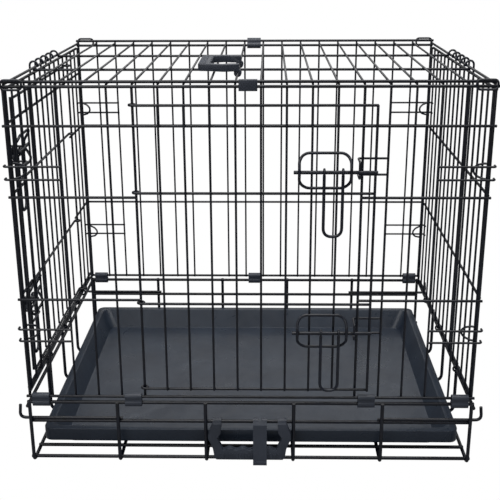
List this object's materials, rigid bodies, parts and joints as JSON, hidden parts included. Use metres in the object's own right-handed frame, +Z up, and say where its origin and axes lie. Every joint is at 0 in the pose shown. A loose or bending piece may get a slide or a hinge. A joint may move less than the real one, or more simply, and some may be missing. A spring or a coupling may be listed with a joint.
{
  "type": "wire dog crate",
  "caption": "Folding wire dog crate with a front door, an end door, slide bolts, a slate plastic pan and carrying handles.",
  "frame": {"origin": "centre of the whole crate's footprint, on the ground", "axes": "+X along the crate towards the end without a door, -Y out through the front door, +Z up"},
  "size_m": [0.6462, 0.5068, 0.5395],
  "materials": {
    "wire_black": "semi-gloss black epoxy coat over steel wire",
    "wire_satin": "black coat, slightly greyer on the small formed wires",
    "plastic_black": "moulded black plastic, satin",
    "pan_grey": "slate grey sheet-moulded plastic, satin"
  },
  "bodies": {
    "base": {"base_cross_wires": "wire_black", "base_end_wires": "wire_black", "base_rails": "wire_black", "base_corner_rods": "wire_black", "base_front_clips": "plastic_black", "base_back_clips": "plastic_black", "left_hinge_rod": "wire_satin"},
    "pan": {"pan": "pan_grey"},
    "base_handle": {"base_handle": "plastic_black"},
    "clasp": {"base_clasp": "plastic_black"},
    "front": {"front_panel": "wire_black", "front_keepers": "wire_black", "front_corner_links": "wire_satin", "front_top_clip": "plastic_black"},
    "front_door": {"front_door": "wire_black", "front_upper_loop": "wire_satin", "front_lower_loop": "wire_satin"},
    "front_upper_bolt": {"front_upper_bolt": "wire_satin"},
    "front_upper_pull": {"front_upper_pull": "wire_satin"},
    "front_lower_bolt": {"front_lower_bolt": "wire_satin"},
    "front_lower_pull": {"front_lower_pull": "wire_satin"},
    "back": {"back_panel": "wire_black", "back_corner_links": "wire_satin"},
    "lid": {"top_panel": "wire_black", "top_side_hooks": "wire_satin", "top_back_clip": "plastic_black"},
    "top_handle": {"top_handle": "plastic_black"},
    "right_end": {"right_panel": "wire_black", "right_hinge_rings": "wire_satin", "right_corner_bows": "wire_satin"},
    "left_end": {"left_panel": "wire_black", "left_hinge_rings": "wire_satin", "left_corner_bows": "wire_satin", "left_keepers": "wire_black"},
    "left_door": {"left_door": "wire_black", "left_upper_loop": "wire_satin", "left_lower_loop": "wire_satin"},
    "left_upper_bolt": {"left_upper_bolt": "wire_satin"},
    "left_upper_pull": {"left_upper_pull": "wire_satin"},
    "left_lower_bolt": {"left_lower_bolt": "wire_satin"},
    "left_lower_pull": {"left_lower_pull": "wire_satin"}
  },
  "joints": [
    {"name": "pan_lift", "type": "slide", "parent": "base", "child": "pan", "axis": [0, 0, -1], "range_m": [-0.12, 0]},
    {"name": "base_handle_swing", "type": "hinge", "parent": "base", "child": "base_handle", "pos_m": [0.00176, -0.23444, 0.06348], "axis": [1, 0, 0], "range_deg": [-90, 0]},
    {"name": "clasp_swing", "type": "hinge", "parent": "base_handle", "child": "clasp", "pos_m": [0.01616, -0.23444, 0.06348], "axis": [1, 0, 0], "range_deg": [-35, 0]},
    {"name": "front_fold", "type": "hinge", "parent": "base", "child": "front", "pos_m": [0.00176, -0.23444, 0.101], "axis": [1, 0, 0], "range_deg": [0, 90]},
    {"name": "front_door_swing", "type": "hinge", "parent": "front", "child": "front_door", "pos_m": [-0.14176, -0.23154, 0.101], "axis": [0, 0, 1], "range_deg": [-150, 0]},
    {"name": "front_upper_bolt_slide", "type": "slide", "parent": "front_door", "child": "front_upper_bolt", "axis": [1, 0, 0], "range_m": [-0.026, 0]},
    {"name": "front_upper_pull_swing", "type": "hinge", "parent": "front_upper_bolt", "child": "front_upper_pull", "pos_m": [0.10844, -0.24654, 0.42], "axis": [1, 0, 0], "range_deg": [-100, 0]},
    {"name": "front_lower_bolt_slide", "type": "slide", "parent": "front_door", "child": "front_lower_bolt", "axis": [1, 0, 0], "range_m": [-0.026, 0]},
    {"name": "front_lower_pull_swing", "type": "hinge", "parent": "front_lower_bolt", "child": "front_lower_pull", "pos_m": [0.10844, -0.24654, 0.202], "axis": [1, 0, 0], "range_deg": [-100, 0]},
    {"name": "back_fold", "type": "hinge", "parent": "base", "child": "back", "pos_m": [0.00176, 0.24636, 0.101], "axis": [-1, 0, 0], "range_deg": [0, 90]},
    {"name": "lid_open", "type": "hinge", "parent": "back", "child": "lid", "pos_m": [0.00176, 0.24636, 0.5305], "axis": [-1, 0, 0], "range_deg": [0, 90]},
    {"name": "top_handle_swing", "type": "hinge", "parent": "lid", "child": "top_handle", "pos_m": [-0.01418, -0.08104, 0.527], "axis": [0, -1, 0], "range_deg": [-100, 0]},
    {"name": "right_end_fold", "type": "hinge", "parent": "base", "child": "right_end", "pos_m": [0.30766, 0.00596, 0.0878], "axis": [0, -1, 0], "range_deg": [0, 90]},
    {"name": "left_end_fold", "type": "hinge", "parent": "base", "child": "left_end", "pos_m": [-0.30414, 0.00596, 0.101], "axis": [0, 1, 0], "range_deg": [0, 90]},
    {"name": "left_door_swing", "type": "hinge", "parent": "left_end", "child": "left_door", "pos_m": [-0.30124, 0.14306, 0.101], "axis": [0, 0, 1], "range_deg": [-150, 0]},
    {"name": "left_upper_bolt_slide", "type": "slide", "parent": "left_door", "child": "left_upper_bolt", "axis": [0, -1, 0], "range_m": [-0.026, 0]},
    {"name": "left_upper_pull_swing", "type": "hinge", "parent": "left_upper_bolt", "child": "left_upper_pull", "pos_m": [-0.31624, -0.12404, 0.42], "axis": [0, -1, 0], "range_deg": [-100, 0]},
    {"name": "left_lower_bolt_slide", "type": "slide", "parent": "left_door", "child": "left_lower_bolt", "axis": [0, -1, 0], "range_m": [-0.026, 0]},
    {"name": "left_lower_pull_swing", "type": "hinge", "parent": "left_lower_bolt", "child": "left_lower_pull", "pos_m": [-0.31624, -0.12404, 0.202], "axis": [0, -1, 0], "range_deg": [-100, 0]}
  ]
}
